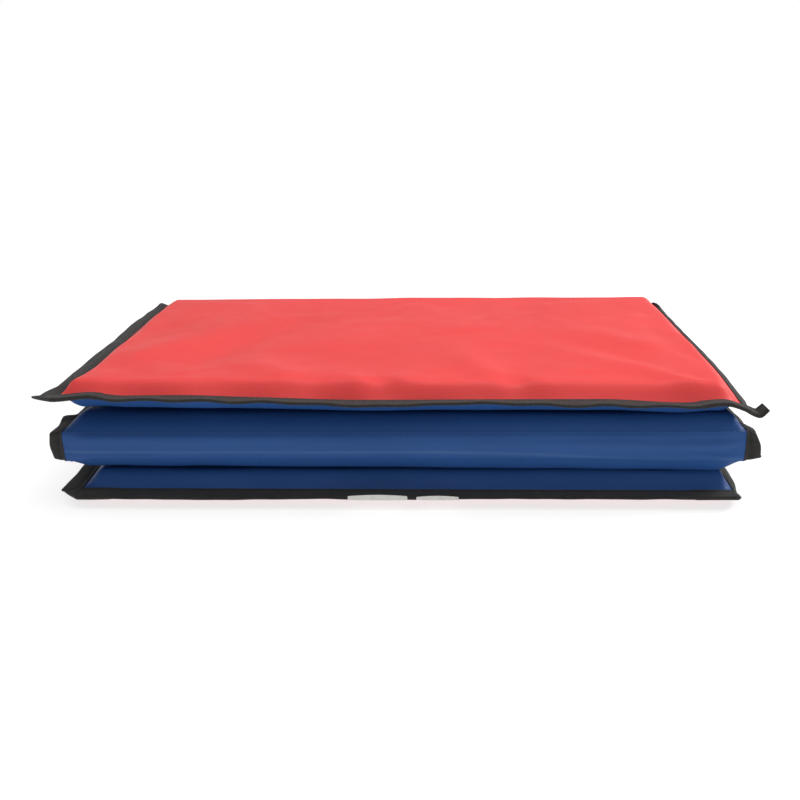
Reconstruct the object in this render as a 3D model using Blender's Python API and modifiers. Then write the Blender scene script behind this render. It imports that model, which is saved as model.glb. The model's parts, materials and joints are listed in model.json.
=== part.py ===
"""A folding gym mat of four padded panels, red on one face and blue on the other, folded up in a zigzag.

Each panel is a foam core between a red and a blue cover sheet. Woven tape binds the sheets round the mat's
outer edge. Between two panels the sheets run on as a flat strip, sewn along both of its long edges, so each
fold turns about two parallel seams. Metres, +Z up, +X along the folds, the mat's two free ends at the front (-Y).
"""

import math

import bmesh
import bpy
from mathutils import Vector

# Driving dimensions of the mat
MAT_WIDTH = 0.483
MAT_LENGTH = 1.143
PANEL_COUNT = 4
PANEL_THICKNESS = 0.021
FOLDED_GAP = 0.0004
SHEET = 0.0005
GAP = 0.0003

# Edge binding: a woven tape folded round the edges of both sheets
TAPE_REACH = 0.0125
TAPE_SHEET = 0.0008
TAPE_THICKNESS = 0.0034
TAPE_EDGE_ROUND = 0.0009
SHEET_MARGIN = 0.0095

# Fold strips between the panels
SEAM_OFFSET = 0.002
SEAM_CLEARANCE = 0.0008
TAPE_SEAM_CLEARANCE = 0.002
THREAD_RADIUS = 0.00045
THREAD_SIDES = 8

# Shape of the padded bodies
BODY_CORNER_ROUND = 0.009
BODY_EDGE_ROUND = 0.006
ROUND_SEGMENTS = 3
SHARP_ANGLE = math.radians(40)

# Labels sewn in under the bottom panel's free end: centre from the middle of the mat, and width
LABELS = {"left_label": (-0.015, 0.041), "right_label": (0.026, 0.029)}
LABEL_THICKNESS = 0.0003
LABEL_START = 0.006
LABEL_LENGTH = 0.0075
LABEL_DROOP = math.radians(35)

# Sizes that follow from those
PITCH = PANEL_THICKNESS + FOLDED_GAP
BODY_WIDTH = MAT_WIDTH - 2 * TAPE_REACH
FOLD_COUNT = PANEL_COUNT - 1
FOLD_LENGTH = PITCH + 2 * SEAM_OFFSET
BODY_LENGTH = (MAT_LENGTH - 2 * TAPE_REACH - FOLD_COUNT * FOLD_LENGTH) / PANEL_COUNT
FOLDED_DEPTH = TAPE_REACH + BODY_LENGTH + SEAM_OFFSET + TAPE_THICKNESS / 2
BODY_FRONT = TAPE_REACH - FOLDED_DEPTH / 2
BODY_BACK = BODY_FRONT + BODY_LENGTH
BODY_MIDDLE = (BODY_FRONT + BODY_BACK) / 2
HALF_GAP = GAP / 2

# Base colour, roughness and metallic value of each material
COLOURS = {
    "red_vinyl": ((0.80, 0.09, 0.09), 0.50, 0.0),
    "blue_vinyl": ((0.03, 0.09, 0.30), 0.40, 0.0),
    "black_tape": ((0.03, 0.03, 0.03), 0.85, 0.0),
    "foam": ((0.85, 0.82, 0.70), 0.95, 0.0),
    "thread": ((0.05, 0.05, 0.05), 0.80, 0.0),
    "label_cloth": ((0.80, 0.80, 0.78), 0.70, 0.0),
}

# Each panel from the floor up: its name, and the colour of its upper face
PANELS = [
    ("bottom", "blue"),
    ("lower_middle", "red"),
    ("upper_middle", "blue"),
    ("top", "red"),
]
# Each fold from the floor up: its name, whether it is at the back, and the colour outside
FOLDS = [
    ("rear_lower_fold", True, "red"),
    ("front_fold", False, "blue"),
    ("rear_upper_fold", True, "red"),
]


def clear_scene():
    for obj in list(bpy.data.objects):
        bpy.data.objects.remove(obj)


def make_material(name):
    colour, roughness, metallic = COLOURS[name]
    material = bpy.data.materials.new(name)
    material.use_nodes = True
    shader = material.node_tree.nodes["Principled BSDF"]
    shader.inputs["Base Color"].default_value = (*colour, 1.0)
    shader.inputs["Roughness"].default_value = roughness
    shader.inputs["Metallic"].default_value = metallic
    return material


def other_colour(colour):
    return "blue" if colour == "red" else "red"


def panel_level(index):
    """Height of a panel's middle plane, counted from the bottom panel."""
    return PANEL_THICKNESS / 2 + index * PITCH


def seam_depth(is_rear):
    """Where a fold's two seams stand from front to back."""
    return BODY_BACK + SEAM_OFFSET if is_rear else BODY_FRONT - SEAM_OFFSET


def make_frame(name, place, parent=None):
    """An empty that carries one moving body, with its origin on that body's hinge seam."""
    frame = bpy.data.objects.new(name, None)
    frame["place"] = place
    frame.parent = parent
    start = Vector(parent["place"]) if parent else Vector((0, 0, 0))
    frame.location = Vector(place) - start
    bpy.context.scene.collection.objects.link(frame)
    return frame


def add_part(name, mesh, material, frame, place, turn=(0, 0, 0)):
    """An object of the mat at a place in the mat's own frame, carried by an empty."""
    obj = bpy.data.objects.new(name, mesh)
    if not mesh.materials:
        mesh.materials.append(material)
    obj.parent = frame
    obj.location = Vector(place) - Vector(frame["place"])
    obj.rotation_euler = turn
    mat_parts.objects.link(obj)
    return obj


def finish_mesh(bm, name):
    mesh = bpy.data.meshes.new(name)
    bm.to_mesh(mesh)
    bm.free()
    mesh.shade_smooth()
    mesh.set_sharp_from_angle(angle=SHARP_ANGLE)
    return mesh


def scaled_cube(size, centre=(0, 0, 0)):
    bm = bmesh.new()
    bmesh.ops.create_cube(bm, size=1.0)
    bmesh.ops.scale(bm, vec=Vector(size), verts=bm.verts)
    bmesh.ops.translate(bm, vec=Vector(centre), verts=bm.verts)
    return bm


def round_edges(bm, edges, radius):
    bmesh.ops.bevel(
        bm,
        geom=edges,
        offset=radius,
        segments=ROUND_SEGMENTS,
        profile=0.5,
        affect="EDGES",
    )


def is_upright(edge):
    along = edge.verts[0].co - edge.verts[1].co
    return abs(along.z) > max(abs(along.x), abs(along.y))


def add_solidify(obj, thickness):
    """Thickens an open surface towards its inner side."""
    solidify = obj.modifiers.new("Solidify", "SOLIDIFY")
    solidify.thickness = thickness
    solidify.offset = -1.0


def foam_mesh():
    inset = 2 * (SHEET + GAP)
    size = (BODY_WIDTH - inset, BODY_LENGTH - inset, PANEL_THICKNESS - inset)
    bm = scaled_cube(size)
    round_edges(bm, [e for e in bm.edges if is_upright(e)], BODY_CORNER_ROUND)
    rims = [e for e in bm.edges if not is_upright(e) and e.calc_face_angle() > SHARP_ANGLE]
    round_edges(bm, rims, BODY_EDGE_ROUND)
    return finish_mesh(bm, "foam_core")


def cover_mesh(front_margin, back_margin):
    """A cover sheet pressed over one half of a panel: a tray, with margins at its rim that lie in the seams."""
    height = PANEL_THICKNESS / 2 - SHEET - HALF_GAP
    bm = scaled_cube((BODY_WIDTH, BODY_LENGTH, height), (0, 0, height / 2))
    round_edges(bm, [e for e in bm.edges if is_upright(e)], BODY_CORNER_ROUND)
    top_ring = [
        e
        for e in bm.edges
        if e.verts[0].co.z > height / 2 and e.verts[1].co.z > height / 2
    ]
    round_edges(bm, top_ring, BODY_EDGE_ROUND)
    floor_faces = [f for f in bm.faces if f.calc_center_median().z < GAP]
    bmesh.ops.delete(bm, geom=floor_faces, context="FACES_ONLY")

    margins = [
        (Vector((1, 0, 0)), SHEET_MARGIN, BODY_WIDTH / 2),
        (Vector((-1, 0, 0)), SHEET_MARGIN, BODY_WIDTH / 2),
        (Vector((0, 1, 0)), back_margin, BODY_LENGTH / 2),
        (Vector((0, -1, 0)), front_margin, BODY_LENGTH / 2),
    ]
    rim = [e for e in bm.edges if e.is_boundary]
    for direction, reach, distance in margins:
        side = [
            e
            for e in rim
            if all(abs(v.co.dot(direction) - distance) < GAP for v in e.verts)
        ]
        grown = bmesh.ops.extrude_edge_only(bm, edges=side)
        new_points = [g for g in grown["geom"] if isinstance(g, bmesh.types.BMVert)]
        bmesh.ops.translate(bm, vec=direction * reach, verts=new_points)
    bmesh.ops.recalc_face_normals(bm, faces=bm.faces)
    face_of_panel = max(bm.faces, key=lambda f: f.calc_area())
    if face_of_panel.normal.z < 0:
        bmesh.ops.reverse_faces(bm, faces=bm.faces)
    return finish_mesh(bm, "cover")


def tape_mesh(length):
    """Binding tape folded lengthways into a channel: open beside the panel, with its fold at x = TAPE_REACH."""
    size = (TAPE_REACH - GAP, length, TAPE_THICKNESS)
    bm = scaled_cube(size, ((TAPE_REACH + GAP) / 2, 0, 0))
    outer = [
        e
        for e in bm.edges
        if all(v.co.x > TAPE_REACH / 2 for v in e.verts) and not is_upright(e)
    ]
    round_edges(bm, outer, TAPE_EDGE_ROUND)
    open_faces = [
        f
        for f in bm.faces
        if f.calc_center_median().x < 2 * GAP
        or abs(f.calc_center_median().y) > length / 2 - GAP
    ]
    bmesh.ops.delete(bm, geom=open_faces, context="FACES_ONLY")
    return finish_mesh(bm, "tape")


def add_tape(name, length, frame, place, turn):
    mesh = tape_mesh(length)
    tape = add_part(name, mesh, materials["black_tape"], frame, place, turn)
    add_solidify(tape, TAPE_SHEET)


def add_panel(index, frame):
    """One padded panel: the foam core, both covers, and the tape along its bound edges."""
    name, upper_colour = PANELS[index]
    has_free_end = index in (0, PANEL_COUNT - 1)
    level = panel_level(index)
    middle = (0, BODY_MIDDLE, level)
    add_part(f"{name}_foam_core", foam_shape, materials["foam"], frame, middle)

    lip = SEAM_OFFSET - SEAM_CLEARANCE
    front_margin = SHEET_MARGIN if has_free_end else lip
    lower_colour = other_colour(upper_colour)
    for colour, side, turn in ((upper_colour, 1, 0.0), (lower_colour, -1, math.pi)):
        cover = add_part(
            f"{name}_{colour}_cover",
            cover_mesh(front_margin, lip),
            materials[f"{colour}_vinyl"],
            frame,
            (0, BODY_MIDDLE, level + side * (HALF_GAP + SHEET)),
            (0, turn, 0),
        )
        add_solidify(cover, SHEET)

    tape_back = BODY_BACK + SEAM_OFFSET - TAPE_SEAM_CLEARANCE
    tape_front = BODY_FRONT - SEAM_OFFSET + TAPE_SEAM_CLEARANCE
    if has_free_end:
        tape_front = BODY_FRONT - TAPE_REACH
    tape_length = tape_back - tape_front
    for side_name, side in (("left", -1), ("right", 1)):
        add_tape(
            f"{name}_{side_name}_binding",
            tape_length,
            frame,
            (side * BODY_WIDTH / 2, (tape_front + tape_back) / 2, level),
            (0, 0, 0 if side > 0 else math.pi),
        )
    if has_free_end:
        add_tape(
            f"{name}_end_binding",
            BODY_WIDTH - 2 * GAP,
            frame,
            (0, BODY_FRONT, level),
            (0, 0, -math.pi / 2),
        )


def add_fold(index, frame):
    """The flat strip between two panels: both sheets, the tape at its ends, and its two rows of thread."""
    name, is_rear, outer_colour = FOLDS[index]
    seam = seam_depth(is_rear)
    outward = 1 if is_rear else -1
    low = panel_level(index)
    middle_level = low + PITCH / 2
    strip_height = PITCH - 2 * SEAM_CLEARANCE
    sheets = ((outer_colour, outward), (other_colour(outer_colour), -outward))
    for colour, side in sheets:
        bm = scaled_cube((BODY_WIDTH, SHEET, strip_height))
        add_part(
            f"{name}_{colour}_strip",
            finish_mesh(bm, "fold_strip"),
            materials[f"{colour}_vinyl"],
            frame,
            (0, seam + side * (HALF_GAP + SHEET / 2), middle_level),
        )
    tape_length = PITCH - 2 * TAPE_SEAM_CLEARANCE
    for side_name, side in (("left", -1), ("right", 1)):
        add_tape(
            f"{name}_{side_name}_binding",
            tape_length,
            frame,
            (side * BODY_WIDTH / 2, seam, middle_level),
            (math.pi / 2, 0, 0 if side > 0 else math.pi),
        )
    for row_name, height in (("lower", low), ("upper", low + PITCH)):
        bm = bmesh.new()
        bmesh.ops.create_cone(
            bm,
            cap_ends=True,
            segments=THREAD_SIDES,
            radius1=THREAD_RADIUS,
            radius2=THREAD_RADIUS,
            depth=BODY_WIDTH,
        )
        add_part(
            f"{name}_{row_name}_seam_thread",
            finish_mesh(bm, "seam_thread"),
            materials["thread"],
            frame,
            (0, seam, height),
            (0, math.pi / 2, 0),
        )


def add_labels(frame):
    """Two blank cloth labels, caught in the end seam under the bottom panel's tape, hanging out and down."""
    clear_of_tape = TAPE_THICKNESS / 2 + GAP + LABEL_THICKNESS
    out = LABEL_LENGTH / 2 * math.cos(LABEL_DROOP)
    down = LABEL_LENGTH / 2 * math.sin(LABEL_DROOP)
    place_y = BODY_FRONT - LABEL_START - out
    place_z = panel_level(0) - clear_of_tape - down
    for name, (centre, width) in LABELS.items():
        bm = scaled_cube((width, LABEL_LENGTH, LABEL_THICKNESS))
        add_part(
            name,
            finish_mesh(bm, name),
            materials["label_cloth"],
            frame,
            (centre, place_y, place_z),
            (LABEL_DROOP, 0, 0),
        )


def build_mat():
    """Panels and folds from the floor up, each carried by an empty on the seam that it turns about."""
    frame = make_frame("bottom_frame", (0.0, 0.0, 0.0))
    add_panel(0, frame)
    add_labels(frame)
    for index, (fold_name, is_rear, _) in enumerate(FOLDS):
        seam = seam_depth(is_rear)
        low = panel_level(index)
        frame = make_frame(f"{fold_name}_frame", (0.0, seam, low), frame)
        add_fold(index, frame)
        panel_name = PANELS[index + 1][0]
        frame = make_frame(f"{panel_name}_frame", (0.0, seam, low + PITCH), frame)
        add_panel(index + 1, frame)


clear_scene()
mat_parts = bpy.data.collections.new("folding_gym_mat")
bpy.context.scene.collection.children.link(mat_parts)
materials = {material_name: make_material(material_name) for material_name in COLOURS}
foam_shape = foam_mesh()
build_mat()
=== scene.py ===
"""Looks of the folding gym mat: padded vinyl panels, fold strips, woven edge binding, stitches and labels.

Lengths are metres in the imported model's frame: +Z up, +X along the folds, both free ends at the front (-Y).
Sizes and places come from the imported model: panels from their foam and covers, seam lines from its joints.
"""

import json
import math

import bpy
import numpy as np
from mathutils import Matrix, Vector


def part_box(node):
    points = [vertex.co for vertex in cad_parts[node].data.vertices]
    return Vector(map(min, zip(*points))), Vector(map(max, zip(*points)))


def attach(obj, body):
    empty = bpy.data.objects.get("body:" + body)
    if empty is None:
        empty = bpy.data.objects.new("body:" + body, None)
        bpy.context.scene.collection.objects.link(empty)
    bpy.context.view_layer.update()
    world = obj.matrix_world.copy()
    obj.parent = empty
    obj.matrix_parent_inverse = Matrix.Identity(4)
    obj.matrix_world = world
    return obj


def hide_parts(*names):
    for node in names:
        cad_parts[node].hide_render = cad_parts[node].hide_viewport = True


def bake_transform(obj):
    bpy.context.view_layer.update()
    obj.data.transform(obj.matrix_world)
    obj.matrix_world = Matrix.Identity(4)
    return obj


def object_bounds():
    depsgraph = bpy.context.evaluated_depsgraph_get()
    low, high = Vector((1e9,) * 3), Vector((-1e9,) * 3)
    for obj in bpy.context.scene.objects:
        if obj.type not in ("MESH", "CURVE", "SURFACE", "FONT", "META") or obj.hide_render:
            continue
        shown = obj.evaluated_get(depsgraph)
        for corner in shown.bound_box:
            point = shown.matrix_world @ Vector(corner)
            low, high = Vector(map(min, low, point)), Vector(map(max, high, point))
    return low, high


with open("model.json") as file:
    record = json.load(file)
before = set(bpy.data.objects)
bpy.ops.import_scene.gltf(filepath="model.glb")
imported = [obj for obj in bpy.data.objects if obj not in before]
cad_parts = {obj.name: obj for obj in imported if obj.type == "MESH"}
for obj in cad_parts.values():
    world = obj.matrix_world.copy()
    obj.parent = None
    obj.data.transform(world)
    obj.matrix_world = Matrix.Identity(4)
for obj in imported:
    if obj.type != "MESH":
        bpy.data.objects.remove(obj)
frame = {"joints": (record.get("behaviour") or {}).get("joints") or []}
cad_low, cad_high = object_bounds()

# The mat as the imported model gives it. Each cover lies one sheet and a small gap outside its foam core.
JOINTS = {joint["name"]: joint for joint in frame["joints"]}
FOAM_COVERING = 0.0008
PANELS = [("bottom", "blue"), ("lower_middle", "red"), ("upper_middle", "blue"), ("top", "red")]
FOLDS = [("rear_lower_fold", "red"), ("front_fold", "blue"), ("rear_upper_fold", "red")]
OTHER_COLOUR = {"red": "blue", "blue": "red"}
HALF_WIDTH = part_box("front_fold_blue_strip")[1].x
TAPE_REACH = cad_high.x - HALF_WIDTH

# Sheets: their thickness, less on the inner side of a fold, where they also start a little way off the seam.
COVER_SHEET = 0.0002
INNER_SHEET = 0.00015
INNER_INSET = 0.0001
INSET_REACH = 0.01
SHARP_ANGLE, TAPE_ANGLE, STITCH_ANGLE = (math.radians(a) for a in (50, 60, 80))

# Padding: a cover's full height, and how far from a side, a loose or inner edge and a fold's outer edge it is
# reached. Values for a fold are by whether it is at the rear.
COVER_HALF = 0.0103
SIDE_REACH = 0.0125
SLOPE_REACH = 0.0115
FOLD_REACH = 0.0135
TOP_SLOPE_SHARE = 0.8
RIGHT_BLUE_SHARE = 0.65
LONG_RIGHT_SLOPES = [("lower_middle", -1), ("top", 1)]
LONGER_SHARE, LONGER_REACH = 0.35, 0.06
FULLER_LEFT = {True: 0.2, False: 0.4}
UNEVEN_SHARE, UNEVEN_LENGTH = 0.14, 0.07
FOLD_UNEVEN = 0.4
# How flat a margin a cover keeps along a seam: at 0 it rises straight off it.
SIDE_MARGIN = 0.7
SLOPE_MARGIN = 0.5
# The rim stands this far off the middle plane, less beside a fold.
RIM_RISE = 0.0005
INNER_RIM_SHARE = 0.5
RIM_REACH = 0.004
# How far each cover of a panel with a loose end stays flat when that end is curled, and the top's low crown.
FLATTENED = {("bottom", 1): 1.0, ("bottom", -1): 1.0, ("top", 1): 0.55, ("top", -1): 0.25}
CROWN_RISE, CROWN_REACH = 0.0006, 0.12
CROWN_LEFT, CROWN_LEFT_SPAN = 0.0020, 0.5
CROWN_WAVE, CROWN_WAVE_LENGTH = 0.0004, 0.11

# The foam slab: how much smaller than the covers it is.
FOAM_INSET = 0.003
FOAM_SHRINK = 0.0012

# Mesh grids: close lines in a band along every edge, and wider ones between.
BAND = 0.03
COVER_FINE, COVER_COARSE = 0.0018, 0.0046
FOAM_FINE, FOAM_COARSE = 0.003, 0.008
STRIP_ROWS = 29
END_STATIONS = 200

# Waves' lengths, as shares of the one asked for.
RIPPLE_LENGTHS = (0.7, 1.6)

# Cloth simulation of the covers: each panel is blown up as a bag a little too large for its seams. Only the
# wrinkles are kept, because the foam holds the bag's broad shape.
CLOTH_GRID = 0.006
CLOTH_FRAMES = 20
CLOTH_PRESSURE = 4.0
CLOTH_EXCESS = 0.015
CLOTH_MASS = 0.3
CLOTH_STIFFNESS = 15.0
CLOTH_BENDING = 0.5
BROAD_WIDTH = 0.030
FINE_WIDTH = 0.008
KERNEL_REACH = 2.5
WRINKLE_CAP = 0.0005
HIDDEN_CAP = 0.0002
WRINKLE_MARGIN = 0.03

# Soft creases in the top cover, ridges and then dips: (start), (end), width at the start and end, and height.
RIDGES = [
    ((0.214, -0.133), (0.090, -0.020), 0.0050, 0.0110, 0.0030),
    ((0.200, -0.045), (0.105, 0.040), 0.0080, 0.0140, 0.0022),
    ((0.068, -0.120), (0.026, -0.005), 0.0070, 0.0160, 0.0032),
    ((0.088, -0.122), (0.112, -0.092), 0.0050, 0.0120, 0.0017),
    ((-0.020, -0.122), (-0.060, -0.085), 0.0060, 0.0120, 0.0026),
    ((-0.004, -0.121), (0.018, -0.090), 0.0050, 0.0120, 0.0020),
    ((-0.066, -0.116), (-0.135, -0.055), 0.0080, 0.0160, 0.0028),
    ((-0.222, -0.085), (-0.095, 0.095), 0.0110, 0.0190, 0.0034),
    ((0.050, -0.005), (0.022, 0.085), 0.0150, 0.0200, 0.0018),
]
DIPS = [
    ((0.077, -0.133), (0.081, -0.105), 0.0030, 0.0080, -0.0040),
    ((-0.012, -0.133), (-0.012, -0.107), 0.0028, 0.0080, -0.0038),
    ((-0.058, -0.131), (-0.056, -0.108), 0.0040, 0.0080, -0.0022),
    ((-0.150, -0.070), (-0.050, 0.095), 0.0140, 0.0220, -0.0030),
    ((0.170, -0.065), (0.100, 0.002), 0.0080, 0.0120, -0.0016),
]
CREASE_START = 0.2
CREASE_FADE = 0.7

# How the folded mat lies. Each loose end is curled: (place across, how far it lies above its level).
CURLS = {
    "bottom": [(-0.229, -0.0012), (0.229, -0.0026)],
    "top": [
        (-0.229, 0.0044), (-0.209, 0.0060), (-0.187, 0.0038), (-0.150, 0.0040), (-0.097, 0.0024),
        (-0.020, 0.0002), (0.135, 0.0003), (0.190, -0.0023), (0.215, -0.0004), (0.229, -0.0044),
    ],
}
CURL_REACH, CURL_POWER = 0.085, 1.5
# The top's left seam is drawn up behind its curl, and dips a little way behind the corner.
LEFT_RAISE, RAISE_REACH, RAISE_FADE = 0.0046, 0.016, 0.008
LEFT_DIP, DIP_PLACE, DIP_WIDTH = 0.0045, 0.020, 0.011
# The middle panels splay a little wider at the front fold, and the loose ends' corners are not square.
FOLD_FLARE, FLARE_REACH = 0.0035, 0.05
CORNER_SPREAD = {("top", -1): 0.0032, ("top", 1): -0.001, ("bottom", -1): -0.004, ("bottom", 1): 0.0}
CORNER_REACH = {"top": 0.022, "bottom": 0.15}

# Fold strips: the outer sheet's bulge from the lower seam to the upper. It leaves the lower seam flat up to a
# ridge, and is rounded above it. A second low ridge, and a highlight painted along it, drop towards the right
# end.
FOLD_FACET = 0.0174
FOLD_BULGE = [(0.0, 0.0044), (0.178, 0.0031), (0.36, 0.0023), (0.62, 0.0029), (0.85, 0.0021), (1.0, 0.0)]
FOLD_RIDGE = [(-0.229, 0.40), (-0.150, 0.42), (0.130, 0.37), (0.200, 0.30), (0.229, 0.10)]
FOLD_RIDGE_HEIGHT, FOLD_RIDGE_WIDTH = 0.00030, 0.050
# The painted highlight: a paler base colour along the front fold's crease, standing in for a glossy streak.
# Its span across, its height at each end of that span, half its width, how much it mixes in, and its colour.
PAINTED_HIGHLIGHT_SPAN = (0.02, 0.24)
PAINTED_HIGHLIGHT_HEIGHT = (0.0395, 0.0330)
PAINTED_HIGHLIGHT_HALF, PAINTED_HIGHLIGHT_SHARE = 0.0020, 0.30
PAINTED_HIGHLIGHT_COLOUR = (0.09, 0.17, 0.33, 1.0)
INNER_GAP, INNER_BULGE = 0.0003, 0.0010
# The strip is less full at its ends, leans there, and is flatter at its top right.
END_FULLNESS, END_REACH = 0.3, 0.020
BELLY_POWER = 0.7
LEAN, LEAN_REACH = 0.03, 0.04
FLATTER_RIGHT = {True: 0.25, False: 0.5}
FLATTER_FROM, FLATTER_SPAN = 0.5, 0.35
# Its wrinkles lie along it by its ends, and its waves all over.
END_WRINKLE, WRINKLE_LENGTH, WRINKLE_STRETCH, WRINKLE_REACH = 0.0006, 0.007, 0.12, 0.028
STRIP_WAVE, STRIP_WAVE_LENGTH, STRIP_WAVE_HEIGHT = 0.0003, 0.06, 0.02
SEAM_FADE = 0.006

# Binding tape, folded in half over the sheets: half its thickness, less where its stitches pull it in.
TAPE_HALF = 0.0011
TAPE_SHEET = 0.0006
TAPE_STITCH_LINE = 0.0030
TAPE_PINCH, PINCH_WIDTH = 0.0005, 0.0012
TAPE_STEP = 0.0028
FOLD_BEND = 0.0028
BEND_TURNS, STRIP_STATIONS = 8, 5
LEAF_POINTS = 9
NOSE_POINTS = 7
LEAST_CURL = 1e-4
# How far each side's tape hangs (radians), and how it lies at the loose ends' corners. Beyond them the end
# tape has a tail: its slope and its length.
HANG = {
    ("top", -1): 0.06,
    ("top", 1): 0.70,
    ("upper_middle", -1): 0.40,
    ("upper_middle", 1): 0.55,
    ("lower_middle", -1): 0.40,
    ("lower_middle", 1): 0.55,
    ("bottom", -1): 0.08,
    ("bottom", 1): 0.70,
}
HANG_LIFT, HANG_CURL = 0.6, 0.8
CORNER_LIFT = {("top", -1): 0.02, ("top", 1): -0.60, ("bottom", -1): 0.0, ("bottom", 1): -0.85}
CORNER_SETTLE = 0.035
CORNER_OVERHANG = 0.0015
CORNER_NARROW = 0.5
TAIL_SLOPE = {("top", -1): -0.02, ("top", 1): -0.38, ("bottom", -1): 0.0, ("bottom", 1): -0.80}
TAIL = {("top", -1): 0.0180, ("top", 1): 0.0165, ("bottom", -1): 0.0137, ("bottom", 1): 0.0060}
TAIL_STEP = 0.0012
HOOK_TURN, HOOK_START, HOOK_REACH = 1.25, 0.0085, 0.0040
HOOK_NARROW, HOOK_NARROWS_OVER, HOOK_THIN = 0.12, 0.4, 0.2
TAIL_START, TAIL_STARTS_OVER = 0.0028, 1 / 6
TAIL_POINT, TAIL_TAPER, TAIL_THIN = 0.02, 0.7, 0.6
LAP_FULLNESS, LAP_START, LAP_REACH, LAP_FROM = 0.5, 0.002, 0.003, 0.2
# Where a side's tape rounds a fold: its tilt, how far it is tucked in at the strip's foot and head, its bow,
# how many bend radii the change from panel to strip takes, and a kink above the front fold.
FOLD_TILT = 0.22
FOLD_TUCK = {-1: (0.72, 0.80), 1: (1.04, 0.52)}
FOLD_NEAR, FOLD_SETTLE = 0.009, 0.026
FOLD_BOW, BOW_REACH = 0.0016, 0.010
FOLD_BLEND_REACH = 2.2
KINK = {-1: 0.42, 1: -0.2}
KINK_PLACE = {-1: 0.038, 1: 0.032}
KINK_WIDTH = 0.006
TOP_DIP_LIFT = 0.45
# The top tape stands up by the rear fold, where it is narrower.
REAR_TIP = {-1: 0.4, 1: 2.1}
REAR_SPREAD = {-1: 0.010, 1: 0.006}
REAR_PLACE, REAR_START = 0.011, 0.007
REAR_NARROW = {-1: 0.25, 1: 0.55}
NARROW_PLACE, NARROW_WIDTH = 0.018, 0.022
# Waves in a tape: (angle, seed's step, length) of each, and how unevenly wide it is.
SIDE_WAVES = [(0.07, 0, 0.06), (0.04, 5, 0.022)]
END_WAVES = [(0.09, 2, 0.10), (0.05, 3, 0.035)]
SIDE_CURL_SHARE = 0.6
TOP_WAVE_SHARE = 0.5
SIDE_UNEVEN, SIDE_UNEVEN_LENGTH = 0.03, 0.05
END_UNEVEN, END_UNEVEN_LENGTH = 0.04, 0.07
WAVE_MARGIN = 0.03
# Each end tape's lift, how much more it has to the right, its curl, and the waves' share in lift and in curl.
END_LIE = {"bottom": (0.04, 0.10, -0.12, 0.3, 0.3), "top": (0.13, 0.0, 0.0, 1.0, 0.6)}
TOP_CORNER_DROP, DROP_START, DROP_REACH = 0.12, 0.004, 0.01

# Stitches: (place along, thickness, rise) of each ring of a stitch, as shares of its half length and radius.
THREAD_RADIUS = 0.00025
STITCH_LENGTH = 0.0026
STITCH_STEP = 0.0038
STITCH_RINGS = [(-1.0, 0.35, -0.9), (-0.72, 0.9, -0.1), (0.0, 1.0, 0.3), (0.72, 0.9, -0.1), (1.0, 0.35, -0.9)]
STITCH_SIDES = 6
SEAM_END = 0.004
# How far a row stands off its cloth, as shares of the thread's radius: on tape, and on a fold's outer sheet.
TAPE_ROW_SHARE, OUTER_ROW_SHARE = 0.4, 0.2

# Labels: (how far out, how far below the seam) from under the tape to the free edge, tucked in and curled.
LABEL_TUCKED = [(0.0065, 0.0030), (0.0090, 0.0029), (0.0105, 0.0033), (0.0115, 0.0038), (0.0120, 0.0042)]
LABEL_CURLED = [(0.0065, 0.0030), (0.0105, 0.0031), (0.0132, 0.0034), (0.0139, 0.0014), (0.0138, -0.0022)]
LABEL_DEPTH = 0.0125
LABEL_SHEET = 0.0003
LABEL_CURL = {"left_label": 1.0, "right_label": 0.86}
LABEL_END_CURL, LABEL_MIDDLE_CURL = 0.70, 0.18
LABEL_ROWS, LABEL_COLUMNS = 33, 9

# Textures: (size of a lump or pitch of a thread, depth that it stands for), and sizes of patches.
WAVE_FACTOR = 20
DENTS, WEAVE, GRAIN = (0.024, 0.0003), (0.0011, 0.00002), (0.0007, 0.00005)
DRIFT_SIZE, WEAR_SIZE, WEAR_RANGE = 0.09, 0.018, (-0.05, 0.06)
# Patches in the painted crease highlight: their size, and the least share of the highlight that they keep.
PAINTED_HIGHLIGHT_PATCH, PAINTED_HIGHLIGHT_LEAST = 0.05, 0.45
DUST, RIBS, YARNS = (0.007, 0.0003), (0.00085, 0.00016), (0.00042, 0.00007)
FOAM_CELLS, STRANDS, LABEL_WEAVE = (0.0016, 0.0004), (0.0004, 0.00005), (0.0004, 0.00006)
SOIL_SIZE, FLOOR_PATCH = 0.006, 0.6
# The floor glows by its distance from the middle: (from, to) in metres, and the glow at each.
GLOW_SPAN, GLOW = (0.5, 1.6), (0.74, 0.95)

# Camera, lights (name, place, size, power) and the sky's brightness by the height of the direction looked in.
CAMERA_PLACE = (0.026, -0.688, 0.2795)
CAMERA_YAW, CAMERA_PITCH, CAMERA_ROLL = (math.radians(a) for a in (-2.54, 19.9, -1.03))
CAMERA_LENS = 40.1
CAMERA_NEAR = 0.01
LIGHTS = [
    ("overhead", (0.08, -0.12, 1.1), 0.7, 5.0),
    ("right_side", (1.9, 0.45, 1.3), 0.6, 32.0),
]
LIGHT_TARGET = (0, 0, 0.04)
SKY = [(0.0, 1.0), (0.14, 1.0), (0.21, 0.26), (0.55, 0.45), (1.0, 0.95)]
FLOOR_HALF, FLOOR_DROP = 6, 0.0003


def smooth(share):
    share = np.clip(share, 0.0, 1.0)
    return share * share * (3 - 2 * share)


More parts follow.
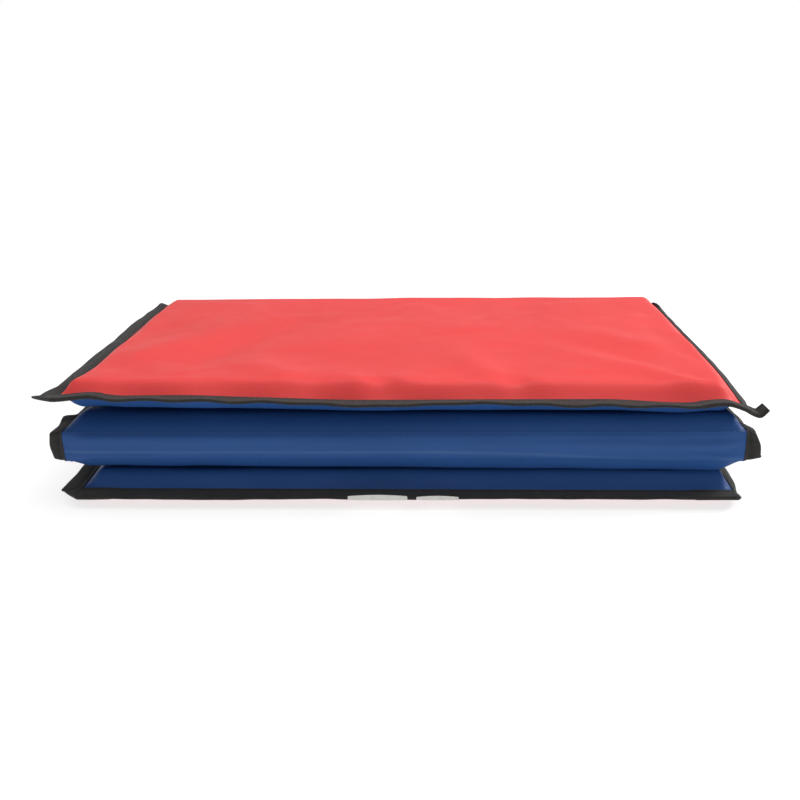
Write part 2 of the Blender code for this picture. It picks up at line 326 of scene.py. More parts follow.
def through(points, place):
    """A smooth curve through a few (place, value) points, level at its highs and lows."""
    places, values = (np.array(column) for column in zip(*points))
    step = np.diff(places)
    slope = np.diff(values) / step
    before, after = slope[:-1], slope[1:]
    same_way = before * after > 0
    inner = np.where(same_way, 2 * before * after / np.where(same_way, before + after, 1.0), 0.0)
    tangent = np.concatenate([slope[:1], inner, slope[-1:]])
    index = np.clip(np.searchsorted(places, place) - 1, 0, len(places) - 2)
    width = step[index]
    share = np.clip((place - places[index]) / width, 0.0, 1.0)
    rise = smooth(share)
    leaving = share * (1 - share) ** 2 * width * tangent[index]
    arriving = share**2 * (1 - share) * width * tangent[index + 1]
    return values[index] * (1 - rise) + values[index + 1] * rise + leaving - arriving


def bump_at(place, middle, width):
    """1 at the middle, falling off smoothly about a width to either side."""
    return np.exp(-(((place - middle) / width) ** 2))


def ripples(seed, wavelength, x, y=0.0, waves=6):
    """Gentle uneven waves between about -1 and 1, with crests about a wavelength apart."""
    random = np.random.RandomState(seed)
    total = 0.0
    for _ in range(waves):
        angle = random.uniform(0, 2 * math.pi)
        pull = 2 * math.pi / (wavelength * random.uniform(*RIPPLE_LENGTHS))
        along = x * math.cos(angle) + y * math.sin(angle)
        total = total + np.sin(pull * along + random.uniform(0, 2 * math.pi))
    return total / math.sqrt(2 * waves)


# ---- The mat's layout -----------------------------------------------------------------------------------


class Panel:
    """One padded panel: its middle plane, and how far its covers reach to the front and the back."""

    def __init__(self, index):
        self.index = index
        self.name, self.upper_colour = PANELS[index]
        self.lower_colour = OTHER_COLOUR[self.upper_colour]
        self.body = f"{self.name}_panel"
        low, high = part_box(f"{self.name}_foam_core")
        self.level = (low.z + high.z) / 2
        self.front = low.y - FOAM_COVERING
        self.back = high.y + FOAM_COVERING
        self.middle = (self.front + self.back) / 2
        touching = [fold for fold in (index - 1, index) if 0 <= fold < len(FOLDS)]
        self.folds = {Fold(fold).is_rear: Fold(fold) for fold in touching}
        if False in self.folds:
            self.front = self.folds[False].seam
        self.back = self.folds[True].seam
        self.free_front = False not in self.folds


class Fold:
    """The strip between two panels: its two seam lines, and whether it is at the back."""

    def __init__(self, index):
        self.index = index
        self.name, self.outer_colour = FOLDS[index]
        self.inner_colour = OTHER_COLOUR[self.outer_colour]
        lower = JOINTS[f"{self.name}_lower_seam"]["pos_m"]
        upper = JOINTS[f"{self.name}_upper_seam"]["pos_m"]
        self.seam, self.low, self.high = lower[1], lower[2], upper[2]
        self.middle = (self.low + self.high) / 2
        self.is_rear = self.seam > 0
        self.outward = 1.0 if self.is_rear else -1.0
        self.flare = 0.0 if self.is_rear else FOLD_FLARE

    def outer_side(self, panel):
        """Which of a panel's faces carries on as this fold's outer sheet: 1 the upper, -1 the lower."""
        return -1 if panel.index == self.index else 1

    def turn_from(self, panel):
        """Which way the strip leaves the panel: 1 up, -1 down."""
        return 1.0 if panel.index == self.index else -1.0


# ---- Meshes ---------------------------------------------------------------------------------------------


def grid_faces(rows, columns, close_columns=False):
    """Quads of a grid of points, row after row; the last column can join the first."""
    faces = []
    for row in range(rows - 1):
        for column in range(columns if close_columns else columns - 1):
            after = (column + 1) % columns
            low, high = row * columns, (row + 1) * columns
            faces.append((low + column, high + column, high + after, low + after))
    return faces


def new_object(name, points, faces, material, smooth_angle=SHARP_ANGLE):
    mesh = bpy.data.meshes.new(name)
    mesh.from_pydata(np.asarray(points).reshape(-1, 3).tolist(), [], faces)
    mesh.materials.append(material)
    mesh.shade_smooth()
    mesh.set_sharp_from_angle(angle=smooth_angle)
    obj = bpy.data.objects.new(name, mesh)
    bpy.context.scene.collection.objects.link(obj)
    return obj


def set_uv(obj, uv):
    """Gives each point one place on the cloth, in metres along and across it."""
    layer = obj.data.uv_layers.new(name="cloth")
    index = np.zeros(len(obj.data.loops), int)
    obj.data.loops.foreach_get("vertex_index", index)
    layer.data.foreach_set("uv", np.asarray(uv, float)[index].ravel())


def thicken(obj, thickness):
    """Gives a sheet its thickness on its inner side, with a crisp rim."""
    modifier = obj.modifiers.new("Sheet", "SOLIDIFY")
    modifier.thickness = thickness
    modifier.offset = -1.0
    shapes = bpy.context.evaluated_depsgraph_get()
    solid = bpy.data.meshes.new_from_object(obj.evaluated_get(shapes))
    obj.modifiers.clear()
    obj.data = solid
    solid.set_sharp_from_angle(angle=SHARP_ANGLE)


def add_subdivision(obj):
    modifier = obj.modifiers.new("Smooth", "SUBSURF")
    modifier.levels = modifier.render_levels = 1


def spaced_lines(low, high, band, fine, coarse):
    """Grid lines from low to high, close together in a band along both ends."""
    edge = np.linspace(0, band, round(band / fine) + 1)
    steps = round((high - low - 2 * band) / coarse)
    middle = np.linspace(low + band, high - band, steps + 1)
    return np.concatenate([low + edge[:-1], middle, (high - edge[::-1])[1:]])


# ---- Materials ------------------------------------------------------------------------------------------


class Shader:
    """A Principled material and short ways to add and join its nodes."""

    def __init__(self, name, roughness, **sockets):
        self.material = bpy.data.materials.new(name)
        self.material.use_nodes = True
        self.tree = self.material.node_tree
        self.principled = self.tree.nodes["Principled BSDF"]
        self.principled.inputs["Roughness"].default_value = roughness
        for socket, value in sockets.items():
            self.principled.inputs[socket.replace("_", " ")].default_value = value

    def node(self, kind, inputs=None, **settings):
        made = self.tree.nodes.new(f"ShaderNode{kind}")
        for setting, value in settings.items():
            setattr(made, setting, value)
        for socket, value in (inputs or {}).items():
            if isinstance(value, bpy.types.NodeSocket):
                self.tree.links.new(value, made.inputs[socket])
            else:
                made.inputs[socket].default_value = value
        return made

    def place(self):
        return self.node("TexCoord").outputs["Object"]

    def cloth_place(self):
        return self.node("UVMap", uv_map="cloth").outputs["UV"]

    def noise(self, place, size, detail=2.0, roughness=0.5):
        """Noise with lumps about that many metres across."""
        inputs = {"Vector": place, "Scale": 1 / size, "Detail": detail, "Roughness": roughness}
        return self.node("TexNoise", inputs).outputs["Fac"]

    def bands(self, place, axis, pitch):
        """Parallel bands at a pitch in metres, across one axis."""
        inputs = {"Vector": place, "Scale": 2 * math.pi / (WAVE_FACTOR * pitch)}
        made = self.node("TexWave", inputs, bands_direction=axis, wave_profile="SIN")
        return made.outputs["Fac"]

    def maths(self, operation, first, second):
        return self.node("Math", {0: first, 1: second}, operation=operation).outputs["Value"]

    def map_range(self, value, given, wanted, kind="LINEAR"):
        """Maps a value from one range to another, each a pair, and holds it at their ends."""
        inputs = {"Value": value, "From Min": given[0], "From Max": given[1]}
        inputs.update({"To Min": wanted[0], "To Max": wanted[1]})
        return self.node("MapRange", inputs, interpolation_type=kind).outputs["Result"]

    def scale_range(self, noise, low, high):
        """Maps the middle half of a noise to the range from low to high."""
        return self.map_range(noise, (0.25, 0.75), (low, high))

    def colour(self, share, first, second):
        """Sets the base colour, from first to second as share goes from 0 to 1."""
        ramp = self.node("ValToRGB", {"Fac": share})
        ramp.color_ramp.elements[0].color = (*first, 1.0)
        ramp.color_ramp.elements[1].color = (*second, 1.0)
        self.tree.links.new(ramp.outputs["Color"], self.principled.inputs["Base Color"])

    def painted_crease_highlight(self, place):
        """Paints a highlight into the base colour along the front fold's crease, which drops towards its
        right end.
        """
        axes = self.node("SeparateXYZ", {"Vector": place}).outputs
        middle = self.map_range(axes["X"], PAINTED_HIGHLIGHT_SPAN, PAINTED_HIGHLIGHT_HEIGHT, "SMOOTHSTEP")
        away = self.maths("ABSOLUTE", self.maths("SUBTRACT", axes["Z"], middle), 0.0)
        share = self.map_range(away, (0.0, PAINTED_HIGHLIGHT_HALF), (PAINTED_HIGHLIGHT_SHARE, 0.0), "SMOOTHSTEP")
        uneven = self.scale_range(self.noise(place, PAINTED_HIGHLIGHT_PATCH), PAINTED_HIGHLIGHT_LEAST, 1.0)
        plain = self.principled.inputs["Base Color"].links[0].from_socket
        mixed = {"Fac": self.maths("MULTIPLY", share, uneven), "Color1": plain, "Color2": PAINTED_HIGHLIGHT_COLOUR}
        self.tree.links.new(self.node("MixRGB", mixed).outputs["Color"], self.principled.inputs["Base Color"])

    def roughness(self, value):
        self.tree.links.new(value, self.principled.inputs["Roughness"])

    def bump(self, *layers):
        """Stacks bumps, each a height and the depth in metres that it stands for."""
        normal = None
        for height, depth in layers:
            inputs = {"Height": height, "Distance": depth}
            if normal:
                inputs["Normal"] = normal
            normal = self.node("Bump", inputs).outputs["Normal"]
        self.tree.links.new(normal, self.principled.inputs["Normal"])


def vinyl_material(name, deep, bright, roughness, with_painted_highlight=False):
    """Coated fabric: a fine grain over the faint weave of its backing, soft dents and slight colour drift,
    and on request a highlight painted along a crease.
    """
    shader = Shader(name, roughness, Specular_IOR_Level=0.18)
    place = shader.place()
    drift = shader.noise(place, DRIFT_SIZE, detail=3.0)
    shader.colour(shader.scale_range(drift, 0.0, 1.0), deep, bright)
    # A highlight painted into the base colour along the front fold's crease, when asked for.
    if with_painted_highlight:
        shader.painted_crease_highlight(place)
    wear = shader.noise(place, WEAR_SIZE, detail=4.0)
    shader.roughness(shader.scale_range(wear, *(roughness + change for change in WEAR_RANGE)))
    weave = shader.maths("ADD", shader.bands(place, "X", WEAVE[0]), shader.bands(place, "Y", WEAVE[0]))
    grain = shader.noise(place, GRAIN[0])
    dents = shader.noise(place, DENTS[0])
    shader.bump((dents, DENTS[1]), (weave, WEAVE[1]), (grain, GRAIN[1]))
    return shader.material


def tape_material():
    """Woven binding tape: crosswise ribs with finer yarns along them, and dusty wear."""
    sheen = {"Sheen_Weight": 0.12, "Sheen_Roughness": 0.45}
    shader = Shader("black_woven_tape", 0.78, Specular_IOR_Level=0.3, **sheen)
    place = shader.cloth_place()
    dust = shader.noise(place, DUST[0], detail=4.0, roughness=0.6)
    shader.colour(shader.scale_range(dust, 0.0, 1.0), (0.008, 0.0075, 0.007), (0.022, 0.020, 0.018))
    ribs = shader.bands(place, "X", RIBS[0])
    yarns = shader.bands(place, "Y", YARNS[0])
    shader.bump((dust, DUST[1]), (ribs, RIBS[1]), (yarns, YARNS[1]))
    return shader.material


def foam_material():
    shader = Shader("open_cell_foam", 0.95, Specular_IOR_Level=0.2)
    place = shader.place()
    cells = shader.node("TexVoronoi", {"Vector": place, "Scale": 1 / FOAM_CELLS[0]}).outputs["Distance"]
    shader.colour(cells, (0.50, 0.46, 0.33), (0.78, 0.74, 0.58))
    shader.bump((cells, FOAM_CELLS[1]))
    return shader.material


def thread_material(name, dark, light):
    """Twisted thread: fine slanting strands."""
    shader = Shader(name, 0.6, Specular_IOR_Level=0.4)
    place = shader.place()
    strands = shader.noise(place, STRANDS[0], detail=1.0)
    shader.colour(strands, dark, light)
    shader.bump((strands, STRANDS[1]))
    return shader.material


def label_material():
    """Plain woven label cloth, blank."""
    shader = Shader("blank_label_cloth", 0.65, Sheen_Weight=0.15)
    place = shader.cloth_place()
    across, along = (shader.bands(place, axis, LABEL_WEAVE[0]) for axis in ("X", "Y"))
    weave = shader.maths("MULTIPLY", across, along)
    soil = shader.noise(place, SOIL_SIZE, detail=3.0)
    shader.colour(soil, (0.52, 0.52, 0.49), (0.72, 0.72, 0.70))
    shader.bump((weave, LABEL_WEAVE[1]))
    return shader.material


def floor_material():
    """A pale floor that glows more the further off it is, so that it meets the backdrop with no edge."""
    shader = Shader("pale_floor", 0.9, Specular_IOR_Level=0.2, Emission_Color=(1.0, 1.0, 1.0, 1.0))
    distance = shader.node("VectorMath", {0: shader.place()}, operation="LENGTH").outputs["Value"]
    glow = shader.map_range(distance, GLOW_SPAN, GLOW)
    shader.tree.links.new(glow, shader.principled.inputs["Emission Strength"])
    shader.colour(shader.noise(shader.place(), FLOOR_PATCH), (0.33, 0.33, 0.33), (0.36, 0.36, 0.36))
    return shader.material


BLUE = ((0.016, 0.064, 0.215), (0.021, 0.078, 0.255), 0.48)
materials = {
    "red": vinyl_material("red_vinyl_cover", (0.655, 0.052, 0.051), (0.70, 0.060, 0.058), 0.50),
    "blue": vinyl_material("blue_vinyl_cover", *BLUE),
    # The same blue, with a highlight painted along the front fold's crease.
    "creased_blue": vinyl_material("creased_blue_vinyl", *BLUE, with_painted_highlight=True),
    "tape": tape_material(),
    "foam": foam_material(),
    "black_thread": thread_material("black_sewing_thread", (0.01, 0.01, 0.01), (0.05, 0.05, 0.05)),
    "blue_thread": thread_material("blue_sewing_thread", (0.015, 0.05, 0.16), (0.03, 0.09, 0.26)),
    "red_thread": thread_material("red_sewing_thread", (0.45, 0.03, 0.03), (0.70, 0.07, 0.06)),
    "label": label_material(),
}


# ---- Padded panels --------------------------------------------------------------------------------------


def side_edge(panel, side, y):
    """How far out the seam between panel and side binding lies, at a place along the side."""
    spread, reach = FOLD_FLARE, FLARE_REACH
    if panel.free_front:
        spread, reach = CORNER_SPREAD[panel.name, side], CORNER_REACH[panel.name]
    return HALF_WIDTH + spread * smooth(1 - (y - panel.front) / reach)


def near_loose_end(y, panel):
    return smooth(1 - (y - panel.front) / CURL_REACH) ** CURL_POWER


def free_end_lift(x, y, panel):
    """How far a panel's loose end lies above its level: the top's curls up on its left, down on its right."""
    if not panel.free_front:
        return np.zeros_like(x + y)
    return through(CURLS[panel.name], x) * near_loose_end(y, panel)


def behind_corner(y, panel):
    """1 a little way behind a panel's front corner, falling off both ways."""
    return bump_at(y, panel.front + DIP_PLACE, DIP_WIDTH)


def side_raise(x, y, panel):
    """How far the top panel's left seam is drawn up above its level, behind the curl of its loose end."""
    if panel.name != "top":
        return np.zeros_like(x + y)
    near_side = smooth(1 - (x + HALF_WIDTH) / RAISE_REACH)
    raised = LEFT_RAISE * smooth((panel.back - y) / RAISE_FADE) * (1 - near_loose_end(y, panel))
    return near_side * (raised - LEFT_DIP * behind_corner(y, panel))


def swell(distance, reach, flat=0.0):
    """How a cover rises from an edge: straight off it where flat is 0, out of a flat margin where it is 1."""
    share = np.clip(distance / reach, 0.0, 1.0)
    round_rise = np.sin(share * math.pi / 2)
    return (1 - flat) * round_rise + flat * smooth(share)


def creases(x, y):
    """The soft folds that run back from the top cover's front edge."""
    total = np.zeros_like(x)
    for (from_x, from_y), (to_x, to_y), near_width, far_width, rise in RIDGES + DIPS:
        along_x, along_y = to_x - from_x, to_y - from_y
        length = math.hypot(along_x, along_y)
        along = ((x - from_x) * along_x + (y - from_y) * along_y) / length
        beside = ((x - from_x) * along_y - (y - from_y) * along_x) / length
        share = np.clip(along / length, 0, 1)
        width = near_width + (far_width - near_width) * share
        past = along - np.clip(along, 0, length)
        shape = np.exp(-0.5 * (beside**2 + past**2) / width**2)
        growing = smooth(share / CREASE_START) if rise > 0 else 1.0
        total = total + rise * shape * growing * (1 - smooth(share)) ** CREASE_FADE
    return total


def crown(x, y, from_side):
    """The top cover's low crown, with its gentle waves: it is higher on the left."""
    waves = CROWN_WAVE * ripples(5, CROWN_WAVE_LENGTH, x, y)
    middle = CROWN_RISE * smooth(from_side / CROWN_REACH)
    return waves + middle + CROWN_LEFT * smooth(0.5 - x / CROWN_LEFT_SPAN)


def side_slope(panel, side, x, y):
    """How far in a cover takes to rise from its side seams, and how flat a margin it keeps beside them."""
    right = x > 0
    reach = np.full_like(x, SIDE_REACH)
    if (panel.name, side) in LONG_RIGHT_SLOPES:
        at_front = smooth(1 - (y - panel.front) / LONGER_REACH)
        reach = np.where(right, reach * (1 + LONGER_SHARE * at_front), reach)
    if panel.upper_colour == "blue" and side > 0:
        reach = np.where(right, reach * RIGHT_BLUE_SHARE, reach)
    if panel.name == "bottom":
        return reach, SIDE_MARGIN
    if (panel.name, side) == ("lower_middle", -1):
        return reach, 0.0
    return reach, np.where(x < 0, 0.0, SIDE_MARGIN)


def cover_height(panel, side, x, y, from_side):
    """A cover's height as a share of its full height, and the share of the rim's rise that it has."""
    seed = 10 * panel.index + (1 if side > 0 else 2)
    uneven = 1 + UNEVEN_SHARE * ripples(seed, UNEVEN_LENGTH, x, y)
    reach, margin = side_slope(panel, side, x, y)
    height = swell(from_side, reach * uneven, margin)
    rim = np.ones_like(x)
    for is_rear, distance in ((False, y - panel.front), (True, panel.back - y)):
        fold = panel.folds.get(is_rear)
        if fold is not None and fold.outer_side(panel) == side:
            fuller = 1 - FULLER_LEFT[fold.is_rear] * x / HALF_WIDTH
            fold_reach = FOLD_REACH * fuller * (1 - FOLD_UNEVEN + FOLD_UNEVEN * uneven)
            height = height * swell(distance, fold_reach)
            rim = rim * smooth(distance / RIM_REACH)
            continue
        slope_reach = SLOPE_REACH * (TOP_SLOPE_SHARE if panel.name == "top" else 1.0)
        height = height * swell(distance, slope_reach * uneven, SLOPE_MARGIN)
        if fold is not None:
            rim = rim * (INNER_RIM_SHARE + (1 - INNER_RIM_SHARE) * smooth(distance / RIM_REACH))
    return height, rim


def off_inner_seams(panel, side, y):
    """Draws a cover's edge back a little from each seam that it meets on the inner side of a fold."""
    for is_rear, fold in panel.folds.items():
        if fold.outer_side(panel) != side:
            distance = panel.back - y if is_rear else y - panel.front
            y = y - fold.outward * INNER_INSET * smooth(1 - distance / INSET_REACH)
    return y


def cover_points(panel, side, grow=0.0, fine=COVER_FINE, coarse=COVER_COARSE):
    """Points of the upper (side 1) or lower (side -1) half of a padded panel, as a grid along x and y."""
    shares = spaced_lines(-1.0, 1.0, BAND / HALF_WIDTH, fine / HALF_WIDTH, coarse / HALF_WIDTH)
    ys = spaced_lines(panel.front, panel.back, BAND, fine, coarse)
    across, y = np.meshgrid(shares, ys, indexing="ij")
    edge = np.where(across < 0, side_edge(panel, -1, y), side_edge(panel, 1, y))
    x = across * edge
    from_side = edge - np.abs(x)
    height, rim = cover_height(panel, side, x, y, from_side)
    share_back = (y - panel.front) / (panel.back - panel.front)
    relief = wrinkled(panel, side, (across + 1) / 2, share_back) * height * smooth(from_side / WRINKLE_MARGIN)
    if (panel.name, side) == ("top", 1):
        relief = relief + (creases(x, y) + crown(x, y, from_side)) * height
    else:
        relief = np.minimum(relief, HIDDEN_CAP)
    z = panel.level + side * (RIM_RISE * rim + (COVER_HALF + grow - RIM_RISE) * height + relief)
    z = z + free_end_lift(x, y, panel) * (1 - FLATTENED.get((panel.name, side), 0.0) * height)
    z = z + side_raise(x, y, panel) * (1 - height)
    return np.stack([x, off_inner_seams(panel, side, y), z], axis=-1)


WRINKLES = {}


def pillow(panel):
    """A panel's two covers as one closed coarse bag, with the points of its rim."""
    upper, lower = (cover_points(panel, side, fine=CLOTH_GRID, coarse=CLOTH_GRID) for side in (1, -1))
    rows, columns = upper.shape[:2]
    place = np.arange(rows * columns).reshape(rows, columns)
    inside = np.zeros((rows, columns), bool)
    inside[1:-1, 1:-1] = True
    below = place.copy()
    below[inside] = rows * columns + np.arange(inside.sum())
    points = np.concatenate([upper.reshape(-1, 3), lower[inside]])
    faces = grid_faces(rows, columns)
    faces += [tuple(int(below.flat[point]) for point in face[::-1]) for face in faces]
    return points, faces, place, below, place[~inside]


def add_cloth(bag, rim):
    """Blows the bag up, with its rim held."""
    pinned = bag.vertex_groups.new(name="rim")
    pinned.add([int(point) for point in rim], 1.0, "REPLACE")
    settings = bag.modifiers.new("Cloth", "CLOTH").settings
    settings.vertex_group_mass = pinned.name
    settings.use_pressure = True
    settings.uniform_pressure_force = CLOTH_PRESSURE
    settings.shrink_min = -CLOTH_EXCESS
    settings.mass = CLOTH_MASS
    settings.tension_stiffness = settings.compression_stiffness = CLOTH_STIFFNESS
    settings.bending_stiffness = CLOTH_BENDING
    settings.effector_weights.gravity = 0.0


def smoothed(field, width):
    """A field on the cloth grid with everything much smaller than the width averaged out."""
    spread = width / CLOTH_GRID
    reach = round(KERNEL_REACH * spread)
    kernel = np.exp(-0.5 * (np.arange(-reach, reach + 1) / spread) ** 2)
    kernel /= kernel.sum()
    padded = np.pad(field, reach, mode="reflect", reflect_type="odd")
    for axis in (0, 1):
        padded = np.apply_along_axis(np.convolve, axis, padded, kernel, mode="valid")
    return padded


def simulate_wrinkles():
    """Runs the cloth on all four panels at once and keeps each cover's wrinkles, in metres outward."""
    bags = {}
    for panel in PANEL_LIST:
        points, faces, above, below, rim = pillow(panel)
        bag = new_object(f"{panel.name}_bag", points, faces, materials["red"])
        add_cloth(bag, rim)
        bags[panel.name] = (bag, points, {1: above, -1: below})
    scene = bpy.context.scene
    for moment in range(1, CLOTH_FRAMES + 1):
        scene.frame_set(moment)
    shapes = bpy.context.evaluated_depsgraph_get()
    for name, (bag, points, halves) in bags.items():
        mesh = bag.evaluated_get(shapes).data
        blown = np.zeros(len(points) * 3)
        mesh.vertices.foreach_get("co", blown)
        rise = (blown.reshape(-1, 3) - points)[:, 2]
        for side, place in halves.items():
            field = side * rise[place]
            wrinkles = smoothed(field, FINE_WIDTH) - smoothed(field, BROAD_WIDTH)
            WRINKLES[name, side] = WRINKLE_CAP * np.tanh(wrinkles / WRINKLE_CAP)
        bpy.data.objects.remove(bag)
    scene.frame_set(1)


def wrinkled(panel, side, rows, columns):
    """The simulated wrinkles read at evenly spread rows and columns of a finer grid."""
    field = WRINKLES.get((panel.name, side))
    if field is None:
        return 0.0
    row = rows * (field.shape[0] - 1)
    column = columns * (field.shape[1] - 1)
    low_row = np.clip(row.astype(int), 0, field.shape[0] - 2)
    low_column = np.clip(column.astype(int), 0, field.shape[1] - 2)
    down, over = row - low_row, column - low_column
    near = field[low_row, low_column] * (1 - over) + field[low_row, low_column + 1] * over
    far = field[low_row + 1, low_column] * (1 - over) + field[low_row + 1, low_column + 1] * over
    return near * (1 - down) + far * down


def add_cover(panel, side):
    colour = panel.upper_colour if side > 0 else panel.lower_colour
    points = cover_points(panel, side)
    faces = grid_faces(*points.shape[:2])
    if side < 0:
        faces = [face[::-1] for face in faces]
    cover = new_object(f"{panel.name}_{colour}_padded_cover", points, faces, materials[colour])
    is_inner = any(fold.outer_side(panel) != side for fold in panel.folds.values())
    thicken(cover, INNER_SHEET if is_inner else COVER_SHEET)
    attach(cover, panel.body)
    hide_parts(f"{panel.name}_{colour}_cover")


def add_foam(panel):
    """The foam slab inside, with the same soft edges as the covers round it."""
    halves = [cover_points(panel, side, -FOAM_SHRINK, FOAM_FINE, FOAM_COARSE) for side in (1, -1)]
    rows, columns = halves[0].shape[:2]
    length = panel.back - panel.front
    for half in halves:
        half[..., 0] *= 1 - FOAM_INSET / HALF_WIDTH
        half[..., 1] = panel.middle + (half[..., 1] - panel.middle) * (1 - 2 * FOAM_INSET / length)
    upper = grid_faces(rows, columns)
    count = rows * columns
    lower = [tuple(count + point for point in face[::-1]) for face in upper]
    rim = [row * columns for row in range(rows)]
    rim += [(rows - 1) * columns + column for column in range(1, columns)]
    rim += [row * columns + columns - 1 for row in range(rows - 2, -1, -1)]
    rim += list(range(columns - 2, 0, -1))
    edge_faces = [
        (point, after, after + count, point + count)
        for point, after in zip(rim, rim[1:] + rim[:1])
    ]
    points = np.concatenate([half.reshape(-1, 3) for half in halves])
    foam = new_object(f"{panel.name}_foam_slab", points, upper + lower + edge_faces, materials["foam"])
    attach(foam, panel.body)
    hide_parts(f"{panel.name}_foam_core")


# ---- Fold strips ----------------------------------------------------------------------------------------


def outer_bulge(fold, x, share, from_end, fullness, belly):
    """How far a fold's outer sheet stands out from its seams: fuller at the left, wrinkled by its ends."""
    seed = 70 + fold.index
    rightness = x / HALF_WIDTH
    place = np.clip(share + LEAN * rightness * np.exp(-from_end / LEAN_REACH) * belly, 0, 1)
    flatter = 1 - FLATTER_RIGHT[fold.is_rear] * rightness * smooth((place - FLATTER_FROM) / FLATTER_SPAN)
    bulge = np.minimum(through(FOLD_BULGE, place), FOLD_FACET * place) * fullness * flatter
    wrinkles = ripples(seed, WRINKLE_LENGTH, share * (fold.high - fold.low), x * WRINKLE_STRETCH)
    wrinkles = wrinkles * np.exp(-from_end / WRINKLE_REACH) * smooth(from_end / SEAM_FADE)
    waves = ripples(seed + 1, STRIP_WAVE_LENGTH, x, share * STRIP_WAVE_HEIGHT) * fullness
    bulge = bulge + (END_WRINKLE * wrinkles + STRIP_WAVE * waves) * belly
    past_ridge = (share - through(FOLD_RIDGE, x)) / FOLD_RIDGE_WIDTH
    return bulge + FOLD_RIDGE_HEIGHT * np.exp(-0.5 * past_ridge**2) * smooth(from_end / SEAM_FADE)


def strip_points(fold, is_outer):
    """A fold's outer or inner sheet, from its lower to its upper seam, as a grid along x and up the strip."""
    edge = HALF_WIDTH + fold.flare
    height = fold.high - fold.low
    xs = spaced_lines(-edge, edge, BAND, COVER_FINE, COVER_COARSE)
    x, share = np.meshgrid(xs, np.linspace(0, 1, STRIP_ROWS), indexing="ij")
    from_end = edge - np.abs(x)
    fullness = END_FULLNESS + (1 - END_FULLNESS) * smooth(from_end / END_REACH)
    belly = np.sin(math.pi * share) ** BELLY_POWER
    if is_outer:
        out = outer_bulge(fold, x, share, from_end, fullness, belly)
    else:
        out = -(INNER_GAP + INNER_BULGE * belly * fullness)
        share = 0.5 + (share - 0.5) * (1 - 2 * INNER_INSET / height)
    return np.stack([x, fold.seam + fold.outward * out, fold.low + share * height], axis=-1)


def add_strip(fold, is_outer):
    colour = fold.outer_colour if is_outer else fold.inner_colour
    points = strip_points(fold, is_outer)
    faces = grid_faces(*points.shape[:2])
    if (fold.outward > 0) == is_outer:
        faces = [face[::-1] for face in faces]
    # The front fold's outer sheet takes the blue with the painted crease highlight.
    has_painted_highlight = is_outer and not fold.is_rear
    material = materials["creased_blue" if has_painted_highlight else colour]
    strip = new_object(f"{fold.name}_{colour}_sheet", points, faces, material)
    thicken(strip, COVER_SHEET if is_outer else INNER_SHEET)
    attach(strip, fold.name)
    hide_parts(f"{fold.name}_{colour}_strip")


# ---- Binding tape ---------------------------------------------------------------------------------------


def tape_half(along):
    """Half the folded tape's thickness at a share of its reach: less where the stitches pull it in."""
    return TAPE_HALF - TAPE_PINCH * bump_at(along * TAPE_REACH, TAPE_STITCH_LINE, PINCH_WIDTH)


def tape_section():
    """The folded tape's cross-section as a closed loop: share of its reach, and height in metres either side.

    It runs out along the upper leaf, round the nose, back along the lower leaf, and returns inside.
    """
    share = np.linspace(0, 1, LEAF_POINTS) * (1 - TAPE_HALF / TAPE_REACH)
    leaf = np.array([tape_half(along) for along in share])
    turn = np.linspace(math.pi / 2, -math.pi / 2, NOSE_POINTS)[1:-1]
    nose = 1 + TAPE_HALF * (np.cos(turn) - 1) / TAPE_REACH
    outer = list(zip(share, leaf)) + list(zip(nose, TAPE_HALF * np.sin(turn)))
    outer += list(zip(share[::-1], -leaf[::-1]))
    inner_nose = 1 - TAPE_SHEET / TAPE_REACH
    inner = [
        (min(along, inner_nose), height * (1 - TAPE_SHEET / TAPE_HALF))
        for along, height in outer[::-1]
    ]
    return outer + inner


class TapeLine:
    """A run of binding tape: at each station a seam point, the directions out and up, and how the tape lies.

    lift is its angle above the sheet's plane at the seam, curl how much more it turns by its folded edge.
    """

    def __init__(self, origin, out, up):
        self.origin, self.out, self.up = (np.asarray(a, float) for a in (origin, out, up))
        count = len(self.origin)
        self.lift, self.curl = np.zeros(count), np.zeros(count)
        self.start, self.reach = np.zeros(count), np.full(count, TAPE_REACH)
        self.fullness = np.ones(count)
        steps = np.linalg.norm(np.diff(self.origin, axis=0), axis=1)
        self.length = np.concatenate([[0.0], np.cumsum(steps)])

    def at(self, along, height):
        """Points of the tape at a share of its reach and a height off its middle surface, one per station."""
        radius = self.start + along * (self.reach - self.start)
        curl = np.where(np.abs(self.curl) < LEAST_CURL, LEAST_CURL, self.curl) / TAPE_REACH
        turned = curl * radius
        level_part, rising_part = np.sin(turned) / curl, (1 - np.cos(turned)) / curl
        over = height * self.fullness
        x = level_part - over * np.sin(turned)
        y = rising_part + over * np.cos(turned)
        cos, sin = np.cos(self.lift), np.sin(self.lift)
        out_part, up_part = x * cos - y * sin, x * sin + y * cos
        return self.origin + out_part[:, None] * self.out + up_part[:, None] * self.up


def add_tape(name, line):
    """The tape's mesh along its line, closed at both ends."""
    section = tape_section()
    points = np.stack([line.at(along, height) for along, height in section], axis=1)
    rows, columns = points.shape[:2]
    faces = [face[::-1] for face in grid_faces(rows, columns, close_columns=True)]
    half = columns // 2
    for row, turned in ((0, False), (rows - 1, True)):
        for step in range(half - 1):
            outer, inner = row * columns + step, row * columns + columns - 1 - step
            face = (outer, inner, inner - 1, outer + 1)
            faces.append(face if turned else face[::-1])
    tape = new_object(name, points, faces, materials["tape"], TAPE_ANGLE)
    sides = [
        math.hypot((after[0] - before[0]) * TAPE_REACH, after[1] - before[1])
        for before, after in zip(section[:-1], section[1:])
    ]
    across = np.concatenate([[0.0], np.cumsum(sides)])
    set_uv(tape, [(length, place) for length in line.length for place in across])
    return tape


